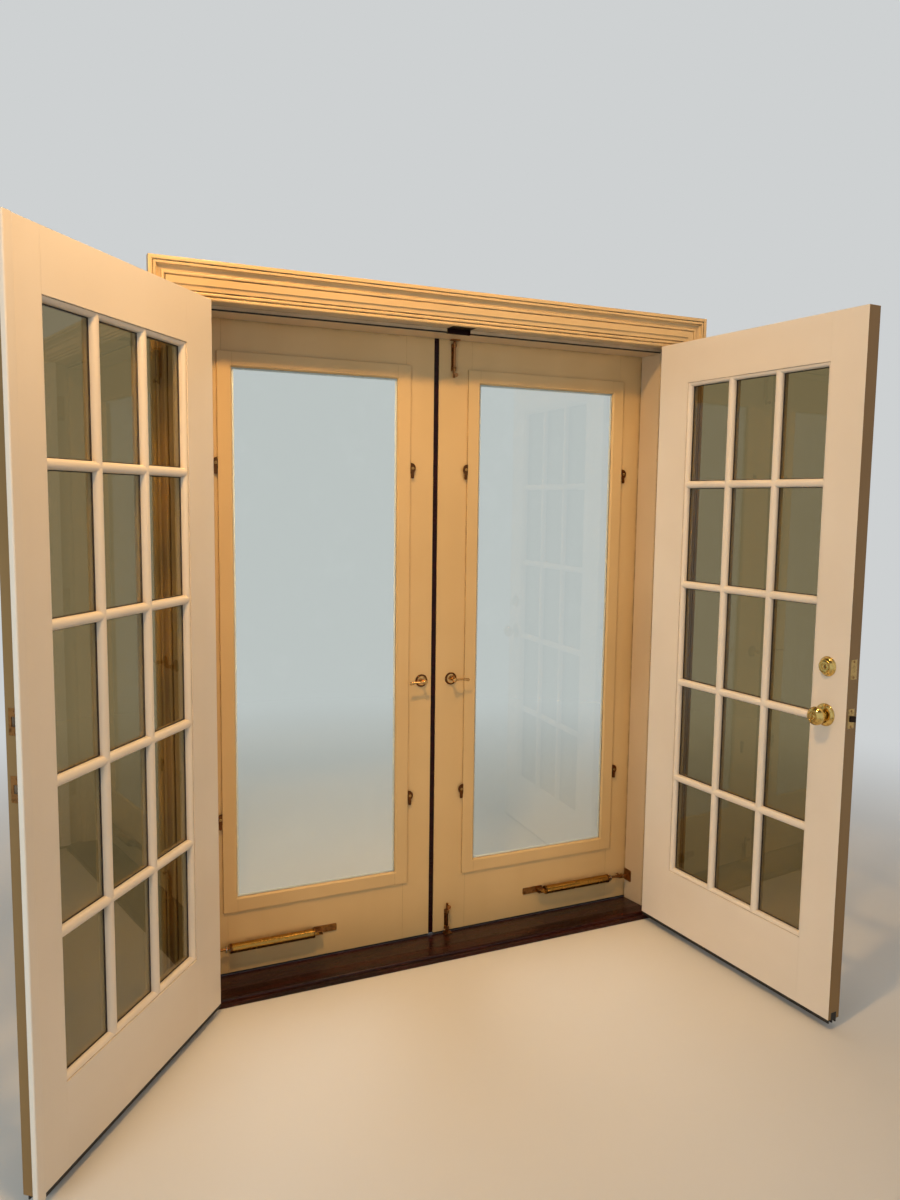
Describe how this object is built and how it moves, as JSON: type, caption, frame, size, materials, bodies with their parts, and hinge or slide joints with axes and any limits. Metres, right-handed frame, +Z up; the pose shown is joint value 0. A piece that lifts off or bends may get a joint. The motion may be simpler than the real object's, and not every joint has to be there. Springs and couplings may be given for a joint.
{
  "type": "french doors",
  "caption": "Pair of inward french doors with divided lites, hung in one painted frame with a pair of outward glazed storm doors, sill and casings.",
  "frame": {"origin": "floor level under the sill, in the middle of the opening, in the plane of the frame's room side", "axes": "+X to the right seen from the room, +Y outward through the doorway, +Z up"},
  "size_m": [2.249, 1.0723, 2.17],
  "materials": {
    "leaf_paint": "satin off-white paint on wood",
    "frame_paint": "satin off-white paint on wood",
    "storm_paint": "satin cream paint on wood",
    "outer_paint": "weathered off-white paint on wood",
    "sill_stain": "dark red-brown painted wood",
    "clear_glass": "clear float glass",
    "polished_brass": "polished, lacquered",
    "aged_brass": "aged, dull",
    "satin_brass": "satin",
    "closer_gold": "gold lacquer",
    "black_rubber": "matt",
    "dark_bronze": "dark bronze"
  },
  "bodies": {
    "frame": {"jamb_left": "frame_paint", "jamb_right": "frame_paint", "head_jamb": "frame_paint", "interior_casing": "frame_paint", "exterior_casing": "outer_paint", "sill": "sill_stain", "weatherstrips": "black_rubber", "jamb_hinges": "satin_brass", "frame_strikes": "dark_bronze", "closer_jamb_brackets": "closer_gold"},
    "left_leaf": {"left_stiles": "leaf_paint", "left_rails": "leaf_paint", "left_grille": "leaf_paint", "left_panes": "clear_glass", "left_beads": "leaf_paint", "left_sweep": "black_rubber", "left_hinges": "satin_brass", "left_astragal": "leaf_paint", "left_strikes": "satin_brass"},
    "left_sill_bolt": {"left_sill_bolt": "satin_brass"},
    "left_head_bolt": {"left_head_bolt": "satin_brass"},
    "right_leaf": {"right_stiles": "leaf_paint", "right_rails": "leaf_paint", "right_grille": "leaf_paint", "right_panes": "clear_glass", "right_beads": "leaf_paint", "right_sweep": "black_rubber", "right_hinges": "satin_brass", "right_lock_trim": "polished_brass"},
    "knobs": {"right_knobs": "polished_brass"},
    "latch": {"right_latch": "polished_brass"},
    "thumb_turn": {"right_thumb_turn": "polished_brass"},
    "deadbolt": {"right_deadbolt": "polished_brass"},
    "storm_left": {"storm_left_frame": "storm_paint", "storm_left_insert": "storm_paint", "storm_left_glass": "clear_glass", "storm_left_hinges": "satin_brass", "storm_left_fittings": "aged_brass"},
    "storm_left_lever": {"storm_left_lever": "aged_brass"},
    "storm_left_closer_tube": {"storm_left_closer_tube": "closer_gold"},
    "storm_left_closer_rod": {"storm_left_closer_rod": "closer_gold"},
    "storm_left_button_1": {"storm_left_button_1": "aged_brass"},
    "storm_left_button_2": {"storm_left_button_2": "aged_brass"},
    "storm_left_button_3": {"storm_left_button_3": "aged_brass"},
    "storm_left_button_4": {"storm_left_button_4": "aged_brass"},
    "storm_right": {"storm_right_frame": "storm_paint", "storm_right_insert": "storm_paint", "storm_right_glass": "clear_glass", "storm_right_hinges": "satin_brass", "storm_right_fittings": "aged_brass"},
    "storm_right_lever": {"storm_right_lever": "aged_brass"},
    "storm_right_closer_tube": {"storm_right_closer_tube": "closer_gold"},
    "storm_right_closer_rod": {"storm_right_closer_rod": "closer_gold"},
    "storm_right_button_1": {"storm_right_button_1": "aged_brass"},
    "storm_right_button_2": {"storm_right_button_2": "aged_brass"},
    "storm_right_button_3": {"storm_right_button_3": "aged_brass"},
    "storm_right_button_4": {"storm_right_button_4": "aged_brass"},
    "storm_latch": {"storm_latch": "aged_brass"},
    "storm_head_bolt": {"storm_head_bolt": "aged_brass"},
    "storm_sill_bolt": {"storm_sill_bolt": "aged_brass"}
  },
  "joints": [
    {"name": "left_leaf_swing", "type": "hinge", "parent": "frame", "child": "left_leaf", "pos_m": [-0.815, -0.007, 1], "axis": [0, 0, 1], "range_deg": [-21.4, 128.6]},
    {"name": "right_leaf_swing", "type": "hinge", "parent": "frame", "child": "right_leaf", "pos_m": [0.815, -0.007, 1], "axis": [0, 0, -1], "range_deg": [-56, 94]},
    {"name": "left_sill_bolt_slide", "type": "slide", "parent": "left_leaf", "child": "left_sill_bolt", "axis": [0, 0, -1], "range_m": [0, 0.02]},
    {"name": "left_head_bolt_slide", "type": "slide", "parent": "left_leaf", "child": "left_head_bolt", "axis": [0, 0, 1], "range_m": [0, 0.015]},
    {"name": "knob_turn", "type": "hinge", "parent": "right_leaf", "child": "knobs", "pos_m": [0.86061, -0.75965, 0.926], "axis": [-0.9976, -0.0698, 0], "range_deg": [0, 60], "stiffness_Nm_per_rad": 0.4},
    {"name": "latch_slide", "type": "slide", "parent": "right_leaf", "child": "latch", "axis": [-0.0698, 0.9976, 0], "range_m": [0, 0.0115]},
    {"name": "thumb_turn_turn", "type": "hinge", "parent": "right_leaf", "child": "thumb_turn", "pos_m": [0.86061, -0.75965, 1.067], "axis": [-0.9976, -0.0698, 0], "range_deg": [0, 90]},
    {"name": "deadbolt_slide", "type": "slide", "parent": "right_leaf", "child": "deadbolt", "axis": [0.0698, -0.9976, 0], "range_m": [0, 0.025]},
    {"name": "storm_left_swing", "type": "hinge", "parent": "frame", "child": "storm_left", "pos_m": [-0.817, 0.1965, 1], "axis": [0, 0, 1], "range_deg": [0, 80], "stiffness_Nm_per_rad": 3},
    {"name": "storm_left_lever_turn", "type": "hinge", "parent": "storm_left", "child": "storm_left_lever", "pos_m": [-0.0559, 0.158, 0.919], "axis": [0, -1, 0], "range_deg": [0, 45], "stiffness_Nm_per_rad": 0.5, "springref_deg": -11.46},
    {"name": "storm_left_closer_pivot", "type": "hinge", "parent": "storm_left", "child": "storm_left_closer_tube", "pos_m": [-0.425, 0.138, 0.107], "axis": [0, 0, -1], "range_deg": [0, 0.78]},
    {"name": "storm_left_closer_slide", "type": "slide", "parent": "storm_left_closer_tube", "child": "storm_left_closer_rod", "axis": [-1, 0, 0], "range_m": [0, 0.0932]},
    {"name": "storm_left_button_1_turn", "type": "hinge", "parent": "storm_left", "child": "storm_left_button_1", "pos_m": [-0.097, 0.15, 0.526], "axis": [0, 1, 0], "range_deg": [0, 180]},
    {"name": "storm_left_button_2_turn", "type": "hinge", "parent": "storm_left", "child": "storm_left_button_2", "pos_m": [-0.734, 0.15, 0.526], "axis": [0, 1, 0], "range_deg": [0, 180]},
    {"name": "storm_left_button_3_turn", "type": "hinge", "parent": "storm_left", "child": "storm_left_button_3", "pos_m": [-0.097, 0.15, 1.629], "axis": [0, 1, 0], "range_deg": [0, 180]},
    {"name": "storm_left_button_4_turn", "type": "hinge", "parent": "storm_left", "child": "storm_left_button_4", "pos_m": [-0.734, 0.15, 1.629], "axis": [0, 1, 0], "range_deg": [0, 180]},
    {"name": "storm_right_swing", "type": "hinge", "parent": "frame", "child": "storm_right", "pos_m": [0.817, 0.1965, 1], "axis": [0, 0, -1], "range_deg": [0, 80], "stiffness_Nm_per_rad": 3},
    {"name": "storm_right_lever_turn", "type": "hinge", "parent": "storm_right", "child": "storm_right_lever", "pos_m": [0.0536, 0.158, 0.919], "axis": [0, 1, 0], "range_deg": [0, 45], "stiffness_Nm_per_rad": 0.5, "springref_deg": -11.46},
    {"name": "storm_right_closer_pivot", "type": "hinge", "parent": "storm_right", "child": "storm_right_closer_tube", "pos_m": [0.425, 0.138, 0.107], "axis": [0, 0, 1], "range_deg": [0, 0.78]},
    {"name": "storm_right_closer_slide", "type": "slide", "parent": "storm_right_closer_tube", "child": "storm_right_closer_rod", "axis": [1, 0, 0], "range_m": [0, 0.0932]},
    {"name": "storm_right_button_1_turn", "type": "hinge", "parent": "storm_right", "child": "storm_right_button_1", "pos_m": [0.097, 0.15, 0.526], "axis": [0, 1, 0], "range_deg": [0, 180]},
    {"name": "storm_right_button_2_turn", "type": "hinge", "parent": "storm_right", "child": "storm_right_button_2", "pos_m": [0.734, 0.15, 0.526], "axis": [0, 1, 0], "range_deg": [0, 180]},
    {"name": "storm_right_button_3_turn", "type": "hinge", "parent": "storm_right", "child": "storm_right_button_3", "pos_m": [0.097, 0.15, 1.629], "axis": [0, 1, 0], "range_deg": [0, 180]},
    {"name": "storm_right_button_4_turn", "type": "hinge", "parent": "storm_right", "child": "storm_right_button_4", "pos_m": [0.734, 0.15, 1.629], "axis": [0, 1, 0], "range_deg": [0, 180]},
    {"name": "storm_latch_slide", "type": "slide", "parent": "storm_left", "child": "storm_latch", "axis": [-1, 0, 0], "range_m": [0, 0.009]},
    {"name": "storm_head_bolt_slide", "type": "slide", "parent": "storm_right", "child": "storm_head_bolt", "axis": [0, 0, 1], "range_m": [0, 0.011]},
    {"name": "storm_sill_bolt_slide", "type": "slide", "parent": "storm_right", "child": "storm_sill_bolt", "axis": [0, 0, -1], "range_m": [0, 0.011]}
  ],
  "couplings": [
    {"joint": "latch_slide", "follows": "knob_turn", "m_per_rad": 0.010934},
    {"joint": "deadbolt_slide", "follows": "thumb_turn_turn", "m_per_rad": 0.015908},
    {"joint": "storm_left_closer_pivot", "follows": "storm_left_swing", "ratio": 0.00971},
    {"joint": "storm_left_closer_slide", "follows": "storm_left_swing", "m_per_rad": 0.06671},
    {"joint": "storm_right_closer_pivot", "follows": "storm_right_swing", "ratio": 0.00971},
    {"joint": "storm_right_closer_slide", "follows": "storm_right_swing", "m_per_rad": 0.06671},
    {"joint": "storm_latch_slide", "follows": "storm_left_lever_turn", "m_per_rad": 0.011395}
  ]
}
